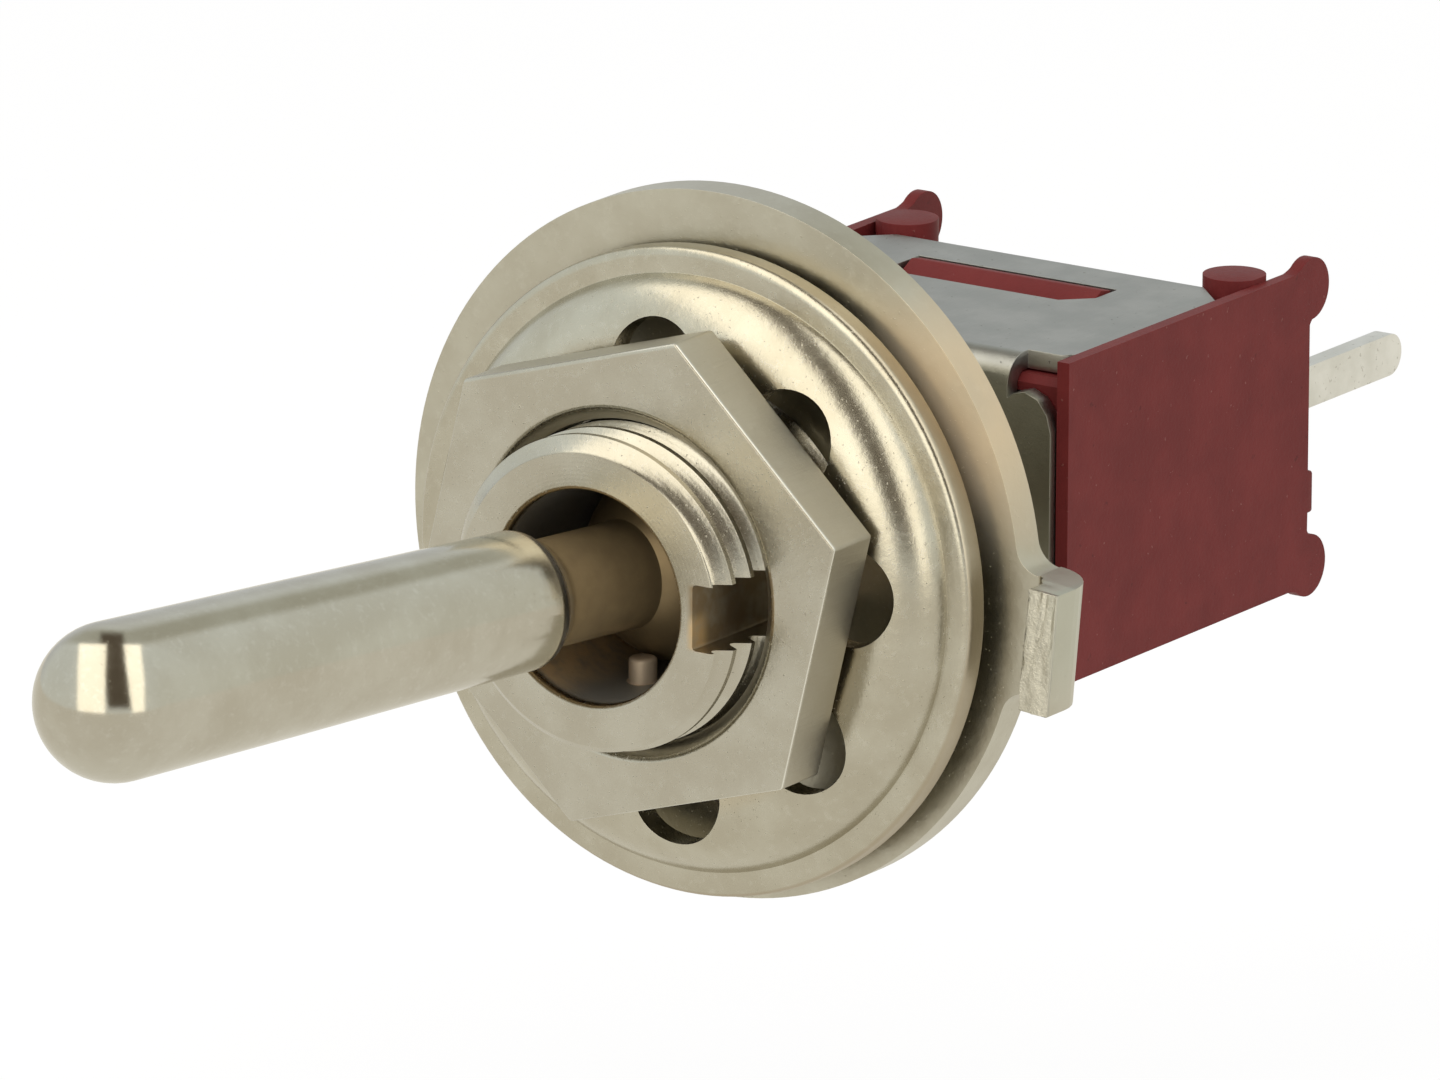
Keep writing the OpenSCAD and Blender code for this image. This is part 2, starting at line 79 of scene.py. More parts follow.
# %% Place the camera
VIEW_TURN = radians(33.76)        # round the switch, towards the keyway side
VIEW_RISE = radians(15.47)        # above the bushing axis
VIEW_ROLL = radians(0.32)
VIEW_DISTANCE = 287.07 * MM
LENS = 471.36                    # focal length, mm
AIM = Vector((1.145, -5.616, 0.657)) * MM

to_camera = Vector((sin(VIEW_TURN) * cos(VIEW_RISE), -cos(VIEW_TURN) * cos(VIEW_RISE), sin(VIEW_RISE)))
level = Vector((cos(VIEW_TURN), sin(VIEW_TURN), 0))
upright = to_camera.cross(level)
right = level * cos(VIEW_ROLL) + upright * sin(VIEW_ROLL)
above = upright * cos(VIEW_ROLL) - level * sin(VIEW_ROLL)
bpy.ops.object.camera_add()
camera = bpy.context.object
camera.name = "camera"
camera.matrix_world = (Matrix.Translation(AIM + to_camera * VIEW_DISTANCE)
                       @ Matrix((right, above, to_camera)).transposed().to_4x4())
camera.data.sensor_width = 36
camera.data.lens = LENS
camera.data.clip_start = 0.01
camera.data.clip_end = 10
bpy.context.scene.camera = camera
bpy.context.scene.view_settings.view_transform = "Standard"
print("camera stands", round(camera.location.length / MM), "mm from the switch")

# %% [markdown]
# ## Selecting in code
# Operators act on what is selected. These helpers deselect everything, make one object active, and
# select its faces, edges or vertices by a test on their place and direction, as a hand would.

# %% Selection helpers
def use(obj):
    """Make obj the only selected object and the active one."""
    if bpy.context.object and bpy.context.object.mode == "EDIT":
        bpy.ops.object.mode_set(mode="OBJECT")
    bpy.ops.object.select_all(action="DESELECT")
    obj.hide_set(False)
    obj.select_set(True)
    bpy.context.view_layer.objects.active = obj


def pick(obj, kind, test):
    """Enter edit mode with the faces, edges or vertices that pass the test selected; returns how many."""
    use(obj)
    mesh = obj.data
    for group in (mesh.vertices, mesh.edges, mesh.polygons):
        group.foreach_set("select", [False] * len(group))
    count = 0
    for item in {"FACE": mesh.polygons, "EDGE": mesh.edges, "VERT": mesh.vertices}[kind]:
        if kind == "FACE":
            chosen = test(item.center, item.normal)
        elif kind == "EDGE":
            a, b = (mesh.vertices[i].co for i in item.vertices)
            chosen = test(a, b)
        else:
            chosen = test(item.co)
        if chosen:
            item.select = True
            count += 1
    bpy.ops.object.mode_set(mode="EDIT")
    bpy.ops.mesh.select_mode(type=kind)
    return count


def finish_mesh(obj, angle=35, merge=0.0002 * MM):
    """Merge doubles, point the faces outwards and smooth all but the sharp edges."""
    use(obj)
    bpy.ops.object.mode_set(mode="EDIT")
    bpy.ops.mesh.select_all(action="SELECT")
    bpy.ops.mesh.remove_doubles(threshold=merge)
    bpy.ops.mesh.normals_make_consistent(inside=False)
    bpy.ops.object.mode_set(mode="OBJECT")
    bpy.ops.object.shade_smooth_by_angle(angle=radians(angle))


def settle(obj):
    """Put the object's place and turn into its mesh."""
    use(obj)
    bpy.ops.object.transform_apply(location=True, rotation=True, scale=True)


print("helpers ready")

# %% [markdown]
# ## Shapes by hand
# A lathe draws half of a section point by point with extrude, spins it round its axis and merges the
# seam. Cuts are Booleans with a cutter that is removed afterwards. Arcs in a section come from one
# function, so an outline only names its corners and radii.

# %% Shape helpers
def arc(centre, radius, start, end, steps=8):
    """Points along an arc in a section, angles in degrees."""
    angles = [radians(start + (end - start) * i / steps) for i in range(steps + 1)]
    return [(centre[0] + radius * cos(a), centre[1] + radius * sin(a)) for a in angles]


def draw(name, points):
    """Draw a line through (x, y, z) points, in millimetres, one extrusion for each; leaves edit mode on."""
    bpy.ops.object.select_all(action="DESELECT")
    bpy.ops.mesh.primitive_plane_add(size=0.01 * MM, location=(0, 0, 0))
    obj = bpy.context.object
    obj.name = name
    here = Vector(points[0]) * MM
    bpy.ops.object.mode_set(mode="EDIT")
    bpy.ops.mesh.select_all(action="SELECT")
    bpy.ops.mesh.merge(type="CENTER")
    bpy.ops.transform.translate(value=here)
    for point in points[1:]:
        there = Vector(point) * MM
        bpy.ops.mesh.extrude_region_move(TRANSFORM_OT_translate={"value": there - here})
        here = there
    bpy.ops.mesh.select_all(action="SELECT")
    return obj


def lathe(name, section, steps=128, close=False):
    """Spin a section of (radius, y) points, in millimetres, round the Y axis."""
    points = list(section) + ([section[0]] if close else [])
    obj = draw(name, [(radius, y, 0) for radius, y in points])
    bpy.ops.mesh.spin(steps=steps, angle=2 * pi, center=(0, 0, 0), axis=(0, 1, 0))
    bpy.ops.mesh.select_all(action="SELECT")
    bpy.ops.mesh.remove_doubles(threshold=0.0005 * MM)
    bpy.ops.mesh.normals_make_consistent(inside=False)
    bpy.ops.object.mode_set(mode="OBJECT")
    return obj


def block(name, low, high):
    """A box between two corners, in millimetres: always a cutter or a start."""
    bpy.ops.object.select_all(action="DESELECT")
    middle = [(a + b) / 2 * MM for a, b in zip(low, high)]
    bpy.ops.mesh.primitive_cube_add(size=MM, location=middle)
    obj = bpy.context.object
    obj.name = name
    obj.scale = [b - a for a, b in zip(low, high)]
    settle(obj)
    return obj


def post(name, radius, length, centre, axis="Y", sides=64):
    """A round bar along an axis, in millimetres: always a cutter or a start."""
    bpy.ops.object.select_all(action="DESELECT")
    turn = {"Y": (pi / 2, 0, 0), "X": (0, pi / 2, 0), "Z": (0, 0, 0)}[axis]
    bpy.ops.mesh.primitive_cylinder_add(vertices=sides, radius=radius * MM, depth=length * MM,
                                        location=[v * MM for v in centre], rotation=turn)
    obj = bpy.context.object
    obj.name = name
    settle(obj)
    return obj


def combine(obj, other, operation="DIFFERENCE"):
    """Apply a Boolean of obj with other, which is then removed."""
    use(obj)
    change = obj.modifiers.new("combine", "BOOLEAN")
    change.operation = operation
    change.solver = "MANIFOLD"
    change.object = other
    bpy.ops.object.modifier_apply(modifier=change.name)
    bpy.data.objects.remove(other)


def soften(obj, width, angle=40, segments=3):
    """Round every edge sharper than the angle."""
    use(obj)
    change = obj.modifiers.new("soften", "BEVEL")
    change.width = width * MM
    change.segments = segments
    change.limit_method = "ANGLE"
    change.angle_limit = radians(angle)
    change.miter_outer = "MITER_ARC"
    bpy.ops.object.modifier_apply(modifier=change.name)


def polish(obj, angle=35):
    """Smooth all but the sharp edges, and keep broad faces flat beside their rounded edges."""
    finish_mesh(obj, angle)
    change = obj.modifiers.new("flat faces", "WEIGHTED_NORMAL")
    change.keep_sharp = True
    bpy.ops.object.modifier_apply(modifier=change.name)


def copy_node(node, name):
    """A merged copy of a CAD node, with its flat faces joined, ready to be worked on."""
    use(nodes[node])
    bpy.ops.object.duplicate()
    obj = bpy.context.object
    obj.name = name
    obj.parent = None
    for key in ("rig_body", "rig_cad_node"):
        if key in obj:
            del obj[key]
    obj.data.materials.clear()
    bpy.ops.object.mode_set(mode="EDIT")
    bpy.ops.mesh.select_all(action="SELECT")
    bpy.ops.mesh.remove_doubles(threshold=0.0005 * MM)
    bpy.ops.mesh.dissolve_limited(angle_limit=radians(1))
    bpy.ops.object.mode_set(mode="OBJECT")
    use(obj)
    return obj


print("shapes ready")

# %% [markdown]
# ## Node graphs
# A finish is arithmetic on patterns. A small class wraps a socket so that plus, minus and times write
# the Math nodes, and one method adds any other node from its settings and inputs.

# %% Shader maths
class Wire:
    """An output socket that can be used in a sum."""

    def __init__(self, graph, socket):
        self.graph = graph
        self.socket = socket

    def maths(self, operation, *values):
        return self.graph.add("ShaderNodeMath", {"operation": operation}, dict(enumerate(values)))

    def __add__(self, other):
        return self.maths("ADD", self, other)

    def __sub__(self, other):
        return self.maths("SUBTRACT", self, other)

    def __rsub__(self, other):
        return self.maths("SUBTRACT", other, self)

    def __mul__(self, other):
        return self.maths("MULTIPLY", self, other)

    __radd__ = __add__
    __rmul__ = __mul__


class Graph:
    """A node tree; it starts empty unless its nodes are kept to be added to."""

    def __init__(self, tree, keep_nodes=False):
        self.tree = tree
        if not keep_nodes:
            tree.nodes.clear()

    def add(self, kind, settings=None, inputs=None, output=0):
        """Add a node; settings come first, then the values or links of its sockets."""
        node = self.tree.nodes.new(kind)
        for key, value in (settings or {}).items():
            setattr(node, key, value)
        for key, value in (inputs or {}).items():
            if isinstance(value, Wire):
                self.tree.links.new(value.socket, node.inputs[key])
            else:
                node.inputs[key].default_value = value
        return Wire(self, node.outputs[output])

    def millimetres(self):
        """Object coordinates in millimetres."""
        place = self.add("ShaderNodeTexCoord", output="Object")
        return self.add("ShaderNodeVectorMath", {"operation": "SCALE"}, {0: place, "Scale": 1000.0})

    def split(self, vector):
        """The x, y and z of a vector as three wires."""
        parts = self.add("ShaderNodeSeparateXYZ", inputs={0: vector}).socket.node
        return [Wire(self, socket) for socket in parts.outputs]

    def noise(self, where, scale, detail=3.0, rough=0.55):
        """A soft pattern from 0 to 1, with about scale blobs a millimetre."""
        return self.add("ShaderNodeTexNoise", inputs={"Vector": where, "Scale": float(scale),
                                                      "Detail": float(detail), "Roughness": rough})

    def step(self, value, low, high):
        """0 below low, 1 above high and a smooth rise between them."""
        return self.add("ShaderNodeMapRange", {"interpolation_type": "SMOOTHSTEP"},
                        {0: value, 1: low, 2: high, 3: 0.0, 4: 1.0})

    def between(self, value, low, high, edge=0.04):
        """1 between low and high, with soft edges."""
        return self.step(value, low - edge, low + edge) * (1 - self.step(value, high - edge, high + edge))

    def mix(self, share, first, second):
        """A colour that goes from first to second."""
        pair = [(*c, 1) if isinstance(c, tuple) and len(c) == 3 else c for c in (first, second)]
        return self.add("ShaderNodeMix", {"data_type": "RGBA", "blend_type": "MIX"},
                        {0: share, 6: pair[0], 7: pair[1]}, 2)

    def bump(self, height, depth):
        """A normal from a height of 0 to 1, depth in millimetres."""
        return self.add("ShaderNodeBump", inputs={"Height": height, "Distance": depth * MM, "Strength": 1.0})


def finish(name, build, **sockets):
    """A material whose graph build(graph, place) returns links by socket name; sockets are constants."""
    material = bpy.data.materials.new(name)
    material.use_nodes = True
    graph = Graph(material.node_tree)
    place = graph.millimetres()
    inputs = {key.replace("_", " "): value for key, value in sockets.items()}
    inputs.update(build(graph, place))
    surface = graph.add("ShaderNodeBsdfPrincipled", inputs=inputs)
    end = material.node_tree.nodes.new("ShaderNodeOutputMaterial")
    material.node_tree.links.new(surface.socket, end.inputs[0])
    return material


print("graphs ready")

# %% [markdown]
# ## Nickel plate
# The lever, bushing and nut are turned brass under bright nickel. Nickel is warmer than chrome. The bore
# and the keyway carry painted shade in dark brown, with a painted tan reflection low in the bore and
# toward the keyway's front; the thread roots carry painted shade in darker nickel, and the lever's neck
# and ball inside the bushing carry painted brown shade and reflection. Metallic drops a little in the
# bore and on the lever inside it, as a thin film of grease scatters light. A pale band on the right half
# of the nut's front edge is a painted highlight.
# Roughness and a fine bump break up the reflections, so the metal doesn't look like a mirror.

# %% Nickel finishes
NICKEL = (0.555, 0.53, 0.455)
NICKEL_PALE = (0.63, 0.61, 0.55)
NICKEL_DARK = (0.465, 0.43, 0.35)
PAINTED_BORE_SHADE = (0.20, 0.195, 0.175)
PAINTED_TAN_REFLECTION = (0.72, 0.50, 0.25)
PAINTED_KEYWAY_SHADE = (0.33, 0.24, 0.14)


def plate(graph, place, tone=NICKEL, pale=NICKEL_PALE, dark=NICKEL_DARK, grain=9.0):
    """Colour, roughness and normal of clean plate; grain is blobs a millimetre."""
    cloud = graph.noise(place, 0.9, 4)
    fine = graph.noise(place, grain, 4, 0.7)
    speck = graph.step(graph.noise(place, 21.0, 2), 0.68, 0.76)
    colour = graph.mix(0.35 + graph.step(cloud, 0.35, 0.7) * 0.65, dark, tone)
    colour = graph.mix(graph.step(fine, 0.5, 0.78) * 0.4, colour, pale)
    colour = graph.mix(speck * 0.2, colour, dark)
    height = fine * 0.6 + speck * 0.5
    return colour, 0.20 + fine * 0.12 + speck * 0.1, height


def turned_plate(graph, place):
    """Nickel with faint rings from the lathe, for the bushing; its bore, keyway and thread roots carry
    painted shade, with a painted tan reflection low in the bore and toward the keyway's front.
    """
    x, y, z = graph.split(place)
    colour, rough, height = plate(graph, place)
    radius = graph.add("ShaderNodeMath", {"operation": "SQRT"}, {0: x * x + z * z})
    inside = (1 - graph.step(radius, 1.70, 1.80)) * graph.step(y, -7.44, -7.25)
    # Painted shade in the keyway: brown, with a painted tan reflection toward its front lower end.
    slot = (graph.step(x, 1.80, 1.95) * graph.between(z, -0.50, 0.50, 0.05)
            * (1 - graph.step(radius, 2.36, 2.47)))
    # Painted shade in the thread roots, in darker nickel.
    root = (1 - graph.step(radius, 2.28, 2.42)) * graph.step(radius, 2.1, 2.15) * graph.step(y, -7.40, -7.36)
    patch = graph.step(graph.noise(place, 2.2, 4), 0.3, 0.6)
    colour = graph.mix(root * 0.65, colour, NICKEL_DARK)
    near = (1 - graph.step(y, -7.30, -7.05)) * (1 - graph.step(z, -0.15, 0.10))
    colour = graph.mix(slot * (0.45 + patch * 0.45), colour, graph.mix(near, PAINTED_KEYWAY_SHADE, PAINTED_TAN_REFLECTION))
    # Painted shade in the bore: dark brown, with a painted tan reflection on its lower left.
    low = (1 - graph.step(z, -0.7, 0.1)) * (1 - graph.step(x, -1.0, -0.2))
    colour = graph.mix(inside * 0.9, colour, graph.mix(low * (0.4 + patch * 0.5), PAINTED_BORE_SHADE, PAINTED_TAN_REFLECTION))
    # The staked bump inside the bore is coloured a paler tan.
    stake = (inside * (1 - graph.step(x * x + (y + 6.0) * (y + 6.0), 0.055, 0.07))
             * (1 - graph.step(z, -1.2, -1.0)))
    colour = graph.mix(stake * 0.9, colour, (0.62, 0.50, 0.37))
    rings = graph.add("ShaderNodeMath", {"operation": "SINE"}, {0: radius * 95.0}) * 0.035
    return {"Base Color": colour, "Roughness": rough + inside * 0.25 + slot * 0.2,
            "Metallic": 1 - inside * 0.5, "Normal": graph.bump(height + rings, 0.006)}


def lever_plate(graph, place):
    """Polished nickel on the handle; the neck and ball inside the bushing are duller and carry painted brown
    shade and reflection from the bore, darker further in.
    """
    y = graph.split(place)[1]
    colour, _, height = plate(graph, place, grain=7.0)
    patch = graph.noise(place, 3.0, 3)
    # Painted shade and painted reflection of the bore: the neck and ball inside the bushing are brown.
    depth = graph.step(y + patch * 0.3, -8.45, -7.90)
    colour = graph.mix(depth * 0.9, colour, graph.mix(patch, (0.22, 0.145, 0.06), (0.40, 0.28, 0.125)))
    # Painted shade: darker still further into the bore.
    painted_deeper_shade = graph.step(y, -6.75, -6.1)
    colour = graph.mix(painted_deeper_shade * 0.6, colour, (0.11, 0.08, 0.04))
    return {"Base Color": colour, "Roughness": 0.11 + height * 0.09 + depth * 0.30,
            "Metallic": 1 - depth * 0.35, "Normal": graph.bump(height, 0.0015)}


def nut_plate(graph, place):
    """Nickel over milled flats, which are coloured darker and carry fine lines along the axis; a pale band
    along the front edge is a painted highlight.
    """
    x, y, z = graph.split(place)
    colour, rough, height = plate(graph, place)
    side = graph.step(y, -6.56, -6.50)
    across = graph.add("ShaderNodeCombineXYZ", inputs={0: x * 14.0, 1: y * 1.2, 2: z * 14.0})
    lines = graph.noise(across, 1.6, 3, 0.6)
    colour = graph.mix(side * (0.25 + lines * 0.5), colour, NICKEL_DARK)
    # Painted highlight: a pale band on the bevel along the right half of the front edge.
    painted_edge_highlight = graph.between(y, -6.578, -6.552, 0.010) * graph.step(x, -0.6, 0.4)
    colour = graph.mix(painted_edge_highlight * 0.9, colour, (0.86, 0.84, 0.77))
    return {"Base Color": colour, "Roughness": rough + side * 0.16,
            "Normal": graph.bump(height + lines * side, 0.007)}


bushing_nickel = finish("turned nickel", turned_plate)
lever_nickel = finish("polished nickel", lever_plate)
nut_nickel = finish("milled nickel", nut_plate, Metallic=1.0)
print("nickel finishes: 3")

# %% [markdown]
# ## Washer plate
# The washers are stamped from steel and barrel plated, so they are a little yellower and less even
# than the turned parts. The keyed washer has a tan cast near its tab and along its upper rim, and
# both show small dents from the barrel.

# %% Washer finishes
TAN = (0.72, 0.55, 0.34)


def lock_plate(graph, place):
    """Yellowish nickel on the toothed washer, dull and brown on its side wall and tooth edges."""
    x, _, z = graph.split(place)
    colour, rough, height = plate(graph, place, (0.56, 0.53, 0.44), (0.66, 0.63, 0.55),
                                  (0.45, 0.41, 0.32), 6.0)
    radius = graph.add("ShaderNodeMath", {"operation": "SQRT"}, {0: x * x + (z + 0.24) * (z + 0.24)})
    wall = graph.step(radius, 5.02, 5.07)
    colour = graph.mix(wall * 0.55, colour, (0.40, 0.325, 0.225))
    teeth = 1 - graph.step(radius, 3.45, 3.75)
    colour = graph.mix(teeth * 0.35, colour, (0.62, 0.53, 0.38))
    return {"Base Color": colour, "Roughness": rough + wall * 0.15, "Normal": graph.bump(height, 0.008)}


def keyed_plate(graph, place):
    """Pale nickel with a tan cast; the tab's outer face is greener and its sheared end is grainy."""
    x, y, _ = graph.split(place)
    colour, rough, height = plate(graph, place, (0.56, 0.535, 0.45), (0.64, 0.62, 0.54),
                                  (0.47, 0.435, 0.35), 5.0)
    patch = graph.noise(place, 0.9, 3)
    from_cast = graph.add("ShaderNodeVectorMath", {"operation": "DISTANCE"},
                          {0: place, 1: (4.6, -3.9, 2.9)}, "Value")
    warm = 1 - graph.step(from_cast + patch * 1.5, 1.4, 3.6)
    colour = graph.mix(warm * (0.3 + patch * 0.6), colour, TAN)
    outer = graph.step(x, 6.40, 6.50)
    colour = graph.mix(outer * 0.6, colour, (0.52, 0.53, 0.45))
    shear = 1 - graph.step(y, -4.56, -4.50)
    tear = graph.noise(place, 6.0, 5, 0.75)
    colour = graph.mix(shear * tear, colour, (0.70, 0.67, 0.58))
    return {"Base Color": colour, "Roughness": rough + 0.07 + shear * 0.05,
            "Metallic": 1 - warm * 0.4, "Normal": graph.bump(height + shear * tear * 4.0, 0.008)}


lock_metal = finish("toothed washer plate", lock_plate, Metallic=1.0)
keyed_metal = finish("keyed washer plate", keyed_plate)
print("washer finishes: 2")

# %% [markdown]
# ## Tinned and silvered sheet
# The bracket is tinned steel: a cooler, greyer metal with rolling lines along the sheet and dark
# specks. The terminals and the contacts are silver plated, paler and softer, with a little tarnish
# where they leave the sealing compound.

# %% Sheet finishes
def tin(graph, place):
    """Grey tin with rolling lines along Y, dark specks and a darker, browner front."""
    x, y, z = graph.split(place)
    along = graph.add("ShaderNodeCombineXYZ", inputs={0: x * 16.0, 1: y * 1.3, 2: z * 16.0})
    lines = graph.noise(along, 1.4, 4, 0.65)
    cloud = graph.step(graph.noise(place, 1.3, 4), 0.3, 0.75)
    specks = graph.step(graph.noise(place, 11.0, 2), 0.69, 0.74)
    colour = graph.mix(cloud, (0.32, 0.325, 0.31), (0.41, 0.41, 0.39))
    colour = graph.mix(lines * 0.3, colour, (0.50, 0.50, 0.48))
    colour = graph.mix(specks * 0.5, colour, (0.13, 0.13, 0.12))
    # The front, below about y 0.1 mm, is coloured darker and browner.
    front = 1 - graph.step(y, 0.06, 0.16)
    colour = graph.mix(front * 0.55, colour, (0.20, 0.185, 0.12))
    return {"Base Color": colour, "Roughness": 0.30 + lines * 0.16 + specks * 0.2,
            "Normal": graph.bump(lines + specks, 0.004)}


def silver(graph, place):
    """Soft silver with fine lines along the blade and tarnish near the case."""
    x, y, z = graph.split(place)
    along = graph.add("ShaderNodeCombineXYZ", inputs={0: x * 12.0, 1: y * 1.0, 2: z * 12.0})
    lines = graph.noise(along, 1.5, 3, 0.6)
    cloud = graph.noise(place, 1.1, 4)
    colour = graph.mix(graph.step(cloud, 0.35, 0.7), (0.72, 0.71, 0.66), (0.84, 0.83, 0.79))
    colour = graph.mix((1 - graph.step(y + cloud, 7.3, 8.1)) * 0.4, colour, (0.42, 0.35, 0.23))
    marks = graph.step(graph.noise(place, 12.0, 2), 0.66, 0.72)
    colour = graph.mix(marks * 0.4, colour, (0.30, 0.27, 0.21))
    return {"Base Color": colour, "Roughness": 0.27 + lines * 0.17,
            "Normal": graph.bump(lines + marks * 0.6, 0.004)}


def ground_steel(graph, place):
    """Bright ground pin with fine rings round its length."""
    x, y, z = graph.split(place)
    along = graph.add("ShaderNodeCombineXYZ", inputs={0: x * 0.4, 1: y * 0.4, 2: z * 18.0})
    rings = graph.noise(along, 1.5, 3)
    return {"Base Color": graph.mix(rings, (0.42, 0.41, 0.39), (0.58, 0.57, 0.55)),
            "Roughness": 0.2 + rings * 0.15, "Normal": graph.bump(rings, 0.003)}


def spring_wire(graph, place):
    """Drawn steel wire, blue-grey with scale."""
    scale = graph.noise(place, 7.0, 4)
    return {"Base Color": graph.mix(scale, (0.16, 0.165, 0.18), (0.38, 0.38, 0.38)),
            "Roughness": 0.25 + scale * 0.2, "Normal": graph.bump(scale, 0.004)}


tinned = finish("tinned sheet", tin, Metallic=1.0)
silvered = finish("silver plate", silver, Metallic=1.0)
pin_steel = finish("ground steel", ground_steel, Metallic=1.0)
spring_metal = finish("spring wire", spring_wire, Metallic=1.0)
print("sheet finishes: 4")

# %% [markdown]
# ## Moulded and cast materials
# The case is a mineral-filled thermoset, dark red and only slightly glossy. The filler shows as a
# fine grain with pale and dark specks, and flow marks cloud the colour. The plunger is nylon, the
# sheet behind the bushing is hard paper, and the terminals are sealed with amber resin.

# %% Non-metal finishes
def red_moulding(graph, place):
    """Dark red thermoset with a fine grain, pale specks of filler and a little soot."""
    flow = graph.noise(place, 0.8, 4, 0.6)
    grain = graph.noise(place, 16.0, 4, 0.7)
    colour = graph.mix(graph.step(flow, 0.3, 0.72), (0.116, 0.0155, 0.016), (0.154, 0.022, 0.0215))
    colour = graph.mix(grain * 0.3, colour, (0.185, 0.035, 0.033))
    pale = graph.step(graph.noise(place, 9.0, 2), 0.72, 0.76)
    soot = graph.step(graph.noise(graph.add("ShaderNodeVectorMath", {"operation": "ADD"},
                                            {0: place, 1: (7.0, 3.0, 5.0)}), 6.0, 3), 0.69, 0.74)
    colour = graph.mix(pale * 0.4, colour, (0.32, 0.13, 0.11))
    colour = graph.mix(soot * 0.45, colour, (0.05, 0.010, 0.010))
    return {"Base Color": colour, "Roughness": 0.40 + grain * 0.16 - pale * 0.05,
            "Normal": graph.bump(grain * 0.8 + pale + flow * 2.0, 0.006)}


def nylon(graph, place):
    """Natural nylon: milky, with a faint waxy grain."""
    wax = graph.noise(place, 5.0, 4)
    return {"Base Color": graph.mix(wax, (0.62, 0.58, 0.48), (0.76, 0.73, 0.65)),
            "Roughness": 0.35 + wax * 0.15, "Normal": graph.bump(wax, 0.004)}


def hard_paper(graph, place):
    """Vulcanised paper with short crossed fibres."""
    x, y, z = graph.split(place)
    warp_way = graph.add("ShaderNodeCombineXYZ", inputs={0: x * 9.0, 1: y * 3.0, 2: z * 2.0})
    weft_way = graph.add("ShaderNodeCombineXYZ", inputs={0: x * 2.0, 1: y * 3.0, 2: z * 9.0})
    fibres = graph.noise(warp_way, 1.6, 5, 0.7)
    weft = graph.noise(weft_way, 1.6, 5, 0.7)
    pale = graph.mix(weft, (0.09, 0.09, 0.09), (0.15, 0.15, 0.145))
    return {"Base Color": graph.mix(fibres, (0.055, 0.057, 0.06), pale),
            "Roughness": 0.65 + fibres * 0.15, "Normal": graph.bump(fibres + weft, 0.008)}


def resin(graph, place):
    """Amber sealing resin, glossy, with small bubbles and a wavy top."""
    wave = graph.noise(place, 1.1, 3)
    bubbles = graph.add("ShaderNodeTexVoronoi", inputs={"Vector": place, "Scale": 2.6}, output="Distance")
    pits = 1 - graph.step(bubbles, 0.10, 0.17)
    colour = graph.mix(wave, (0.30, 0.175, 0.075), (0.44, 0.285, 0.14))
    colour = graph.mix(pits * 0.6, colour, (0.12, 0.06, 0.025))
    return {"Base Color": colour, "Roughness": 0.18 + wave * 0.1 + pits * 0.2,
            "Normal": graph.bump(wave * 4.0 - pits, 0.012)}


case_red = finish("red moulding", red_moulding, Metallic=0.0, Specular_IOR_Level=0.13)
plunger_nylon = finish("nylon", nylon, Metallic=0.0)
sheet_paper = finish("hard paper", hard_paper, Metallic=0.0)
sealing_resin = finish("sealing resin", resin, Metallic=0.0)
print("materials so far:", len([m for m in bpy.data.materials if m.use_nodes]))

# %% [markdown]
# ## Studio
# Bright metal shows the room. Two tall pale windows left and right of the camera give each turned part
# its two bright bands, and the narrow dark strip between them draws the dark line. The world holds
# them for glossy rays only, laid out round the direction in which this camera stands, and the floor
# has its own calmer tone for reflections. Two lamps and an even sky light the colours at a plain
# level, and the floor stays pale and keeps a soft shadow.

# %% World, lamps and floor
WINDOW_LIGHT = (2.15, 2.05, 1.8)
DIFFUSE_SKY = (0.62, 0.61, 0.60)
FLOOR_IN_METAL = (0.85, 0.825, 0.74, 1.0)
FLOOR_LEVEL = -12 * MM
LAMP_DISTANCE = 0.2
world = bpy.data.worlds.new("studio")
bpy.context.scene.world = world
world.use_nodes = True
sky = Graph(world.node_tree)
direction = sky.add("ShaderNodeTexCoord", output="Generated")
halfway = sky.add("ShaderNodeVectorMath", {"operation": "ADD"}, {0: direction, 1: tuple(to_camera)})
facing = sky.add("ShaderNodeVectorMath", {"operation": "NORMALIZE"}, {0: halfway})
across = sky.add("ShaderNodeVectorMath", {"operation": "DOT_PRODUCT"}, {0: facing, 1: tuple(right)}, "Value")
high = sky.add("ShaderNodeVectorMath", {"operation": "DOT_PRODUCT"}, {0: facing, 1: tuple(above)}, "Value")
tall = sky.between(high, -0.18, 0.70, 0.02)
slanted = across + (high + 0.1) * 0.144
left_window = sky.between(across, -0.43, -0.09, 0.02) * tall
right_window = sky.between(slanted, 0.24, 0.44, 0.02) * (1 - sky.step(across, 0.37, 0.41)) * tall
gap = sky.between(slanted, -0.05, 0.24, 0.03) * sky.between(high, -0.08, 0.84, 0.05)
sill = sky.between(high, -0.27, -0.19, 0.02) * sky.between(across, -0.32, 0.34, 0.06)
head = sky.between(high, 0.70, 0.88, 0.05)
rim = 1 - sky.step(sky.add("ShaderNodeVectorMath", {"operation": "DOT_PRODUCT"},
                           {0: facing, 1: tuple(to_camera)}, "Value"), 0.25, 0.5)
room = sky.mix(sky.step(high, -0.9, 0.6), (1.01, 1.02, 0.95), (0.86, 0.91, 0.90))
room = sky.mix(sky.step(across, 0.2, 0.9), room, (0.79, 0.79, 0.70))
room = sky.mix(head * 0.8, room, (0.50, 0.50, 0.42))
room = sky.mix(rim, room, (0.66, 0.68, 0.68))
room = sky.mix(gap, room, (0.14, 0.115, 0.085))
room = sky.mix(sill * 0.85, room, (0.16, 0.13, 0.10))
room = sky.mix(left_window, room, WINDOW_LIGHT)
